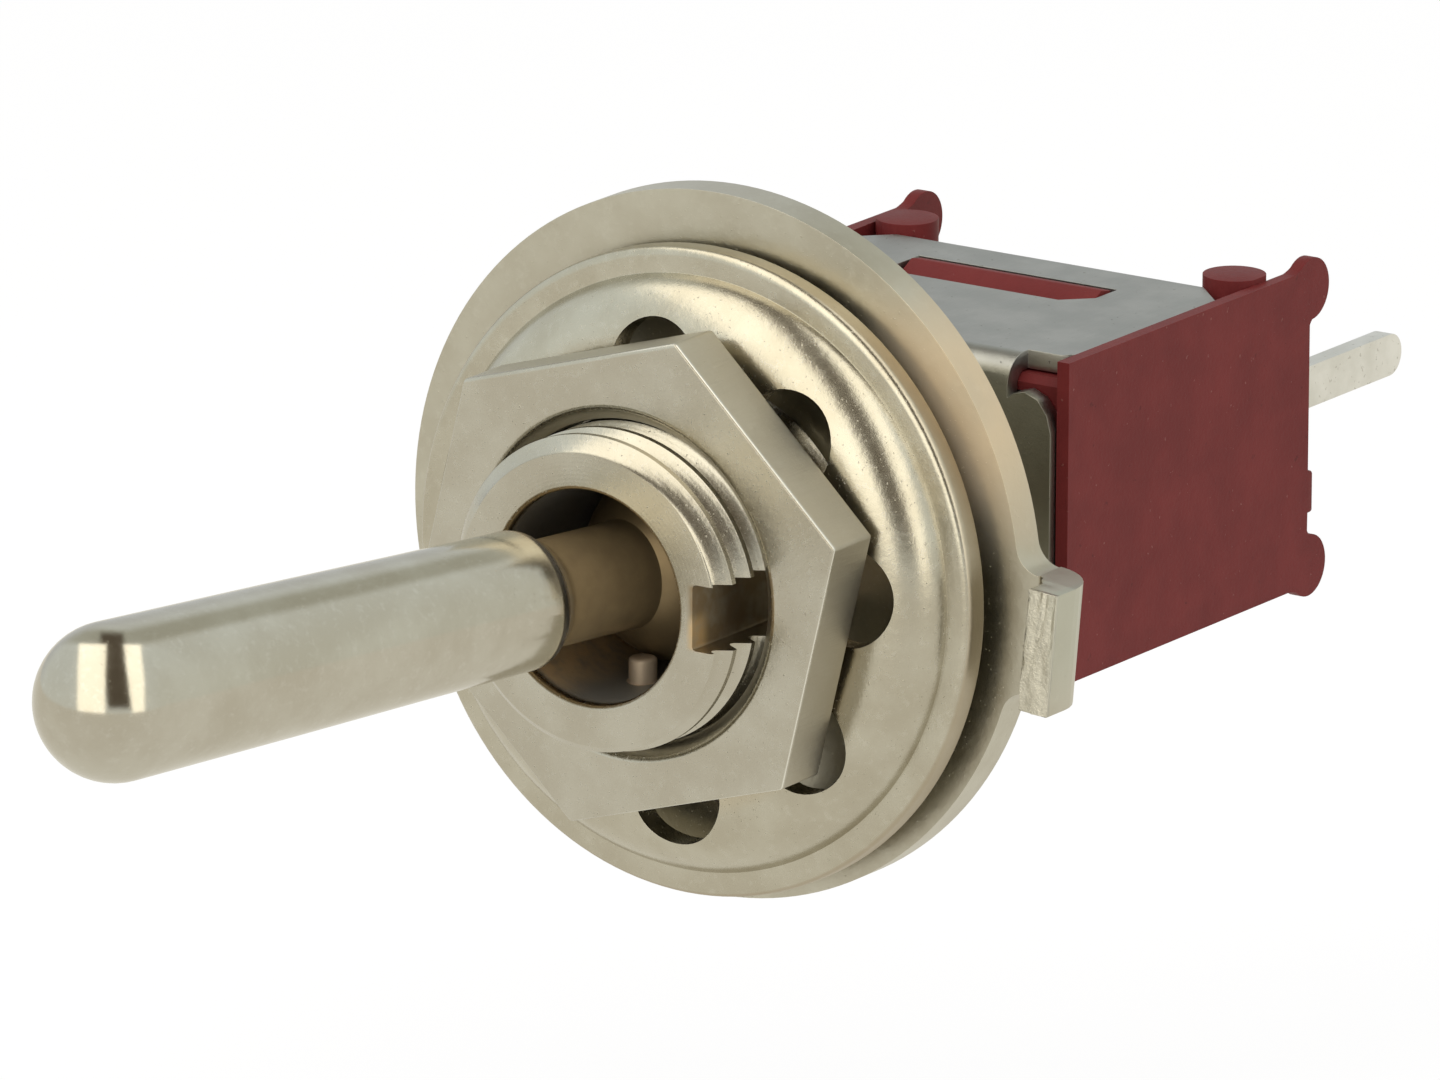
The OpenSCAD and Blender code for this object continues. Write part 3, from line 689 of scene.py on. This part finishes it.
room = sky.mix(right_window, room, WINDOW_LIGHT)
path = sky.add("ShaderNodeLightPath").socket.node
seen = Wire(sky, path.outputs["Is Camera Ray"])
shiny = Wire(sky, path.outputs["Is Glossy Ray"])
clear = Wire(sky, path.outputs["Is Transmission Ray"])
colour = sky.mix(shiny, DIFFUSE_SKY, room)
colour = sky.mix(seen + clear, colour, (1.0, 1.0, 1.0))
background = sky.add("ShaderNodeBackground", inputs={"Color": colour, "Strength": 1.0})
sky_end = world.node_tree.nodes.new("ShaderNodeOutputWorld")
world.node_tree.links.new(background.socket, sky_end.inputs[0])


def lamp(name, turn_from_camera, height, size, power):
    """A square softbox that looks at the switch; it lights colours but isn't mirrored."""
    angle = VIEW_TURN + radians(turn_from_camera)
    rise = radians(height)
    spot = Vector((sin(angle) * cos(rise), -cos(angle) * cos(rise), sin(rise))) * LAMP_DISTANCE
    bpy.ops.object.light_add(type="AREA", location=spot)
    light = bpy.context.object
    light.name = name
    light.data.shape = "SQUARE"
    light.data.size = size
    light.data.energy = power
    light.data.color = (1.0, 0.985, 0.96)
    light.rotation_euler = (-spot).to_track_quat("-Z", "Y").to_euler()
    light.visible_glossy = False
    light.visible_camera = False


lamp("left softbox", -38, 42, 0.14, 0.16)
lamp("right softbox", 42, 48, 0.14, 0.12)


def floor_finish(graph, place):
    """Pale floor with a barely visible mottle."""
    mottle = graph.noise(place, 0.05, 3)
    return {"Base Color": graph.mix(mottle, (0.93, 0.93, 0.93), (0.97, 0.97, 0.97)),
            "Roughness": 0.9 + mottle * 0.05}


bpy.ops.object.select_all(action="DESELECT")
bpy.ops.mesh.primitive_circle_add(vertices=96, radius=0.6, fill_type="NGON", location=(0, 0, FLOOR_LEVEL))
floor = bpy.context.object
floor.name = "floor"
settle(floor)
floor_material = finish("pale floor", floor_finish, Specular_IOR_Level=0.1)
ground = Graph(floor_material.node_tree, keep_nodes=True)
lit = next(n for n in ground.tree.nodes if n.type == "BSDF_PRINCIPLED")
glow = ground.add("ShaderNodeEmission", inputs={"Color": (1.0, 1.0, 1.0, 1.0), "Strength": 1.03})
eye = Wire(ground, ground.add("ShaderNodeLightPath").socket.node.outputs["Is Camera Ray"])
share = ground.add("ShaderNodeMixShader", inputs={0: eye * 0.86, 1: Wire(ground, lit.outputs[0]), 2: glow})
table = ground.add("ShaderNodeEmission", inputs={"Color": FLOOR_IN_METAL, "Strength": 1.0})
mirrored = Wire(ground, eye.socket.node.outputs["Is Glossy Ray"])
both = ground.add("ShaderNodeMixShader", inputs={0: mirrored, 1: share, 2: table})
floor_end = next(n for n in ground.tree.nodes if n.type == "OUTPUT_MATERIAL")
ground.tree.links.new(both.socket, floor_end.inputs[0])
floor.data.materials.append(floor_material)

# %% [markdown]
# ## Putting a piece in its place
# Each finished piece takes a material, rides on a body of the working model, and hides the plain solid
# it replaces.

# %% Hand a piece to the frame
def stand_in(obj, node, body, material):
    """Give obj its finish and let it stand for a CAD node."""
    obj.data.materials.clear()
    obj.data.materials.append(material)
    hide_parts(node)
    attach(obj, body)
    print(obj.name, "faces:", len(obj.data.polygons))


# %% [markdown]
# ## Lever
# The lever is one turned piece: a round tip, a slightly tapered handle, a concave shoulder down to a
# thin neck, the ball it swings on, and a hollow stem that holds the spring. All of it is one half
# outline on a lathe, drawn straight and then leaned to its rest angle about the pivot.

# %% Turn the lever
PIVOT = (0, -4.8, 0)
LEVER_TILT = 12.5
outline = arc((0, -11.78), 1.22, -90, 1, 16)
outline += [(1.17, -8.5), (1.12, -5.8), (1.09, -3.85)]
outline += arc((0.74, -3.62), 0.35, 0, 62, 8)
outline += arc((1.07, -3.08), 0.23, 222, 180, 6)
outline += [(0.84, -1.42)]
outline += arc((0, 0), 1.6, -57.5, 58.5, 26)
outline += [(0.82, 1.42), (0.8, 1.5), (0.8, 4.12)] + arc((0.72, 4.12), 0.08, 0, 90, 4)
outline += arc((0.59, 4.14), 0.06, 90, 180, 3) + [(0.53, 0.97), (0.0, 0.80)]
lever = lathe("lever_turned", outline)
combine(lever, post("pin_hole", 0.33, 4, (0, 0, 0), "Z", 48))
lever.rotation_euler = (0, 0, radians(-LEVER_TILT))
lever.location = Vector(PIVOT) * MM
settle(lever)
polish(lever)
stand_in(lever, "lever", "handle", lever_nickel)

# %% [markdown]
# ## Spring
# The spring sits in the lever's stem and pushes the plunger. Its wire is a small circle swept along a
# helix by a Screw modifier.

# %% Coil the spring
SPRING_TURNS = 6
SPRING_LENGTH = 1.73
coil = draw("spring_coiled", [(x, y, 0) for x, y in arc((0.42, 1.06), 0.08, 0, 360, 12)])
bpy.ops.mesh.remove_doubles(threshold=0.0005 * MM)
bpy.ops.object.mode_set(mode="OBJECT")
sweep = coil.modifiers.new("sweep", "SCREW")
sweep.axis = "Y"
sweep.screw_offset = SPRING_LENGTH / SPRING_TURNS * MM
sweep.iterations = SPRING_TURNS
sweep.steps = sweep.render_steps = 40
use(coil)
bpy.ops.object.modifier_apply(modifier=sweep.name)
bpy.ops.object.mode_set(mode="EDIT")
bpy.ops.mesh.select_all(action="SELECT")
bpy.ops.mesh.fill_holes(sides=0)
bpy.ops.object.mode_set(mode="OBJECT")
coil.rotation_euler = (0, 0, radians(-LEVER_TILT))
coil.location = Vector(PIVOT) * MM
settle(coil)
finish_mesh(coil, 50)
stand_in(coil, "spring", "handle", spring_metal)
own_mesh(coil)

# %% [markdown]
# ## Threaded bushing
# The bushing is a lathe blank with a real helical groove cut from it, which leaves a thread with a
# 0.5 mm pitch. The groove is a V drawn once and swept by a Screw modifier. A keyway runs along one
# side, a staked bump in the bore stops the pin, and the rear end is rolled over the bracket.

# %% Cut the thread, keyway and bore
PITCH = 0.5
THREAD_TURNS = 14
front = -7.55
blank = [(1.80, -3.9), (1.80, 0.42)] + arc((1.86, 0.42), 0.06, 180, 90, 3)
blank += arc((2.13, 0.38), 0.10, 90, 0, 5)
blank += [(2.23, 0.33), (2.2, 0.3), (2.1, 0.3), (2.1, 0.06), (2.14, 0.05), (2.46, 0.05), (2.5, 0.01)]
blank += [(2.5, front + 0.19)] + arc((2.44, front + 0.20), 0.06, 0, -45, 3)
blank += arc((2.31, front + 0.05), 0.05, -45, -90, 3)
blank += arc((1.76, front + 0.08), 0.08, -90, -180, 5) + [(1.68, -3.9)]
bushing = lathe("bushing_turned", blank, close=True)

start = front - 0.35
flank = [(2.62, -0.23), (2.5, -0.2), (2.28, -0.06), (2.25, 0)]
flank += [(2.28, 0.06), (2.5, 0.2), (2.62, 0.23), (2.62, -0.23)]
groove = draw("groove", [(radius, start + offset, 0) for radius, offset in flank])
bpy.ops.mesh.remove_doubles(threshold=0.0005 * MM)
bpy.ops.object.mode_set(mode="OBJECT")
sweep = groove.modifiers.new("sweep", "SCREW")
sweep.axis = "Y"
sweep.screw_offset = PITCH * MM
sweep.iterations = THREAD_TURNS
sweep.steps = sweep.render_steps = 96
sweep.use_merge_vertices = False
use(groove)
bpy.ops.object.modifier_apply(modifier=sweep.name)
bpy.ops.object.mode_set(mode="EDIT")
bpy.ops.mesh.select_all(action="SELECT")
bpy.ops.mesh.fill_holes(sides=0)
bpy.ops.mesh.quads_convert_to_tris()
bpy.ops.mesh.normals_make_consistent(inside=False)
bpy.ops.object.mode_set(mode="OBJECT")
combine(bushing, groove)

keyway = block("keyway", (1.94, -9, -0.52), (3.2, -1.1, 0.52))
soften(keyway, 0.06, 60, 2)
combine(bushing, keyway)
combine(bushing, post("cross_hole", 0.3, 6, PIVOT, "Z", 48))
bump = post("staked_bump", 0.22, 0.62, (0, -6.0, -1.59), "Z", 32)
soften(bump, 0.06, 60, 3)
combine(bushing, bump, "UNION")
polish(bushing, 32)
stand_in(bushing, "bushing", "housing", bushing_nickel)

# %% [markdown]
# ## Hex nut
# A six-sided bar slice: the hole and its countersinks are one lathe-turned cutter, and a fine bevel
# leaves the bright line that a tumbled nut has along its edges; a painted highlight on the right half
# of the front edge strengthens it.

# %% Cut the nut
NUT_FLATS = 7
NUT_THICKNESS = 1.05
NUT_TURN = 13.5
nut = post("nut_cut", NUT_FLATS / cos(radians(30)) / 2, NUT_THICKNESS, (0, -6.075, 0), "Y", 6)
nut.rotation_euler = (0, radians(NUT_TURN), 0)
settle(nut)
hole = [(0, -6.8), (2.96, -6.8), (2.53, -6.37), (2.53, -5.72), (2.80, -5.45), (0, -5.45)]
cutter = lathe("nut_hole", hole, 96)
combine(nut, cutter)
soften(nut, 0.05, 35, 3)
polish(nut)
stand_in(nut, "hex_nut", "housing", nut_nickel)

# %% [markdown]
# ## Toothed lock washer
# The washer is a spring: a domed ring with eight inner teeth, each twisted so that one corner bites
# into the nut. The ring is turned with extra rings of points across the tooth width, the gullets are
# cut, and each tooth in turn is brought to the X axis and twisted in four nested steps.

# %% Turn, cut and twist the teeth
TEETH = 8
TOOTH_START = 5                   # degrees from the X axis to the first gullet
TWIST_STEP = 3.2                  # degrees a tooth turns in each of its nested steps
ring = [(2.78, 0.03), (2.81, 0.0), (3.0, 0), (3.25, 0), (3.5, 0)]
ring += arc((3.73, 0.9946), 0.9946, -90, -17.2, 12)
ring += arc((4.94, 0.84), 0.14, -90, 0, 6) + [(5.08, 1.08)] + arc((5.03, 1.09), 0.05, 0, 90, 3)
ring += [(4.42, 1.14), (4.38, 1.10), (4.38, 1.02)] + arc((3.73, 0.9946), 0.5546, 0, 90, 2)[:1]
ring += arc((3.73, 0.9946), 0.5546, 0, -90, 8)
ring += [(3.5, 0.44), (3.25, 0.44), (3.0, 0.44), (2.81, 0.44), (2.78, 0.41)]
lock = lathe("lock_washer_stamped", ring, 144, close=True)
gullet = post("gullet", 0.8, 3, (3.32, 0.5, 0), "Y", 48)
combine(gullet, block("gullet_mouth", (0, -1, -0.4), (3.32, 2, 0.4)), "UNION")
for i in range(TEETH):
    cut = gullet.copy()
    cut.data = gullet.data.copy()
    bpy.context.collection.objects.link(cut)
    cut.rotation_euler = (0, -radians(TOOTH_START + i * 360 / TEETH), 0)
    settle(cut)
    combine(lock, cut)
bpy.data.objects.remove(gullet)
finish_mesh(lock, 35)
lock.rotation_euler = (0, radians(TOOTH_START + 180 / TEETH), 0)
settle(lock)
for i in range(TEETH):
    for reach in (3.42, 3.22, 3.02, 2.92):
        picked = pick(lock, "VERT", lambda co: 2 * MM < co.x < reach * MM and abs(co.z) < 0.75 * MM)
        bpy.ops.transform.rotate(value=radians(TWIST_STEP), orient_axis="X",
                                 center_override=(0, 0.22 * MM, 0))
        bpy.ops.object.mode_set(mode="OBJECT")
    lock.rotation_euler = (0, radians(360 / TEETH), 0)
    settle(lock)
print("points on a tooth tip:", picked)
soften(lock, 0.03, 50, 2)
lock.rotation_euler = (0, radians(-TOOTH_START - 180 / TEETH), 0)
settle(lock)
lock.rotation_euler = (radians(-2), 0, 0)
lock.location = Vector((0, -5.389, -0.24)) * MM
settle(lock)
polish(lock)
stand_in(lock, "lock_washer", "housing", lock_metal)

# %% [markdown]
# ## Keyed washer
# This washer stops the switch from turning in its panel. It is blanked from sheet: the outline is a
# disc with an arm, joined by round inner corners. The arm's end is spun a quarter turn about the fold
# line and drawn forward to make the tab, whose sheared end is left rough.

# %% Blank, fold and pierce the washer
KEYED_FRONT, KEYED_BACK = -3.919, -3.299
DISC_RADIUS, CORNER_RADIUS, ARM_HALF_WIDTH = 5.58, 0.45, 0.95
corner_z = ARM_HALF_WIDTH + CORNER_RADIUS
corner_x = sqrt((DISC_RADIUS + CORNER_RADIUS) ** 2 - corner_z ** 2)
meet = degrees(atan2(corner_z, corner_x))
edge = arc((0, 0), DISC_RADIUS, meet, 360 - meet, 150)
lower = arc((corner_x, -corner_z), CORNER_RADIUS, 180 - meet, 90, 8)
upper = arc((corner_x, corner_z), CORNER_RADIUS, -90, -180 + meet, 8)
sides = edge + lower[1:] + [(5.87, -0.97), (5.87, 0.97)] + upper[:-1]
keyed = draw("keyed_washer_blanked", [(x, KEYED_BACK, z) for x, z in sides])
bpy.ops.mesh.edge_face_add()
bpy.ops.mesh.remove_doubles(threshold=0.0005 * MM)
bpy.ops.mesh.extrude_region_move(TRANSFORM_OT_translate={"value": (0, (KEYED_FRONT - KEYED_BACK) * MM, 0)})
finish_mesh(keyed)
found = pick(keyed, "FACE", lambda co, n: n.x > 0.99 and co.x > 5.86 * MM)
bpy.ops.mesh.spin(steps=8, angle=pi / 2, center=(5.87 * MM, (KEYED_BACK - 0.75) * MM, 0), axis=(0, 0, 1))
bpy.ops.object.mode_set(mode="OBJECT")
finish_mesh(keyed)
print("arm faces:", found, "box:", [round(v / MM, 2) for v in keyed.dimensions])
pick(keyed, "FACE", lambda co, n: n.y < -0.99 and co.x > 5.9 * MM)
bpy.ops.mesh.extrude_region_move(TRANSFORM_OT_translate={"value": (0, -0.15 * MM, 0)})
bpy.ops.transform.resize(value=(0.81, 1, 1), center_override=(6.62 * MM, 0, 0))
bpy.ops.mesh.extrude_region_move(TRANSFORM_OT_translate={"value": (0, -0.38 * MM, 0)})
bpy.ops.object.mode_set(mode="OBJECT")
piercing = post("piercing", 2.63, 3, (0, -3.6, 0), "Y", 128)
combine(piercing, block("tongue", (2.14, -6, -0.25), (3.2, -1, 0.25)))
combine(keyed, piercing)
soften(keyed, 0.07, 40, 3)
pick(keyed, "FACE", lambda co, n: n.y < -0.99 and co.y < -4.5 * MM)
bpy.ops.mesh.subdivide(number_cuts=7)
bpy.ops.transform.vertex_random(offset=0.03 * MM, uniform=0.0, normal=1.0, seed=7)
bpy.ops.object.mode_set(mode="OBJECT")
keyed.rotation_euler = (0, radians(5), 0)
keyed.location = (-0.1 * MM, 0, 0)
settle(keyed)
polish(keyed)
stand_in(keyed, "keyed_washer", "housing", keyed_metal)

# %% [markdown]
# ## Bracket and terminals
# These are sheet parts whose solids already have the right folds, slots and outline. A copy of each is
# cleaned, its flat triangles are joined into whole faces, and the sheared edges are rounded a little,
# because a perfectly sharp edge never catches the light.

# %% Round the edges of the sheet parts
bracket = copy_node("bracket", "bracket_folded")
soften(bracket, 0.035, 45, 2)
polish(bracket)
stand_in(bracket, "bracket", "housing", tinned)
for node in ("common_terminal", "left_terminal", "right_terminal"):
    blade = copy_node(node, node + "_blanked")
    soften(blade, 0.06, 45, 3)
    polish(blade)
    stand_in(blade, node, "housing", silvered)

# %% [markdown]
# ## Moulded case
# The case comes from a mould, so every outside edge has a small radius, and the rear edge shows a low
# rib where the gate was cut off. The copy of the solid gets the rib as a separate block with round
# edges, joined to it before the edges are softened.

# %% Round the case
case = copy_node("case", "case_moulded")
gate = block("gate_rib", (3.53, 7.05, -1.40), (3.73, 7.29, -0.72))
soften(gate, 0.05, 40, 3)
combine(case, gate, "UNION")
soften(case, 0.085, 50, 3)
polish(case)
stand_in(case, "case", "housing", case_red)

# %% [markdown]
# ## Inner parts
# The other solids are simple turned, stamped or cast parts that keep their working shapes. Each gets
# its own finish in its material slot.

# %% Finish the inner parts
inner = {"pivot_pin": pin_steel, "plunger": plunger_nylon, "rocker": silvered,
         "left_rivet": silvered, "right_rivet": silvered,
         "insulator": sheet_paper, "terminal_seal": sealing_resin}
for node, material in inner.items():
    nodes[node].data.materials.clear()
    nodes[node].data.materials.append(material)
print("inner parts finished:", len(inner))
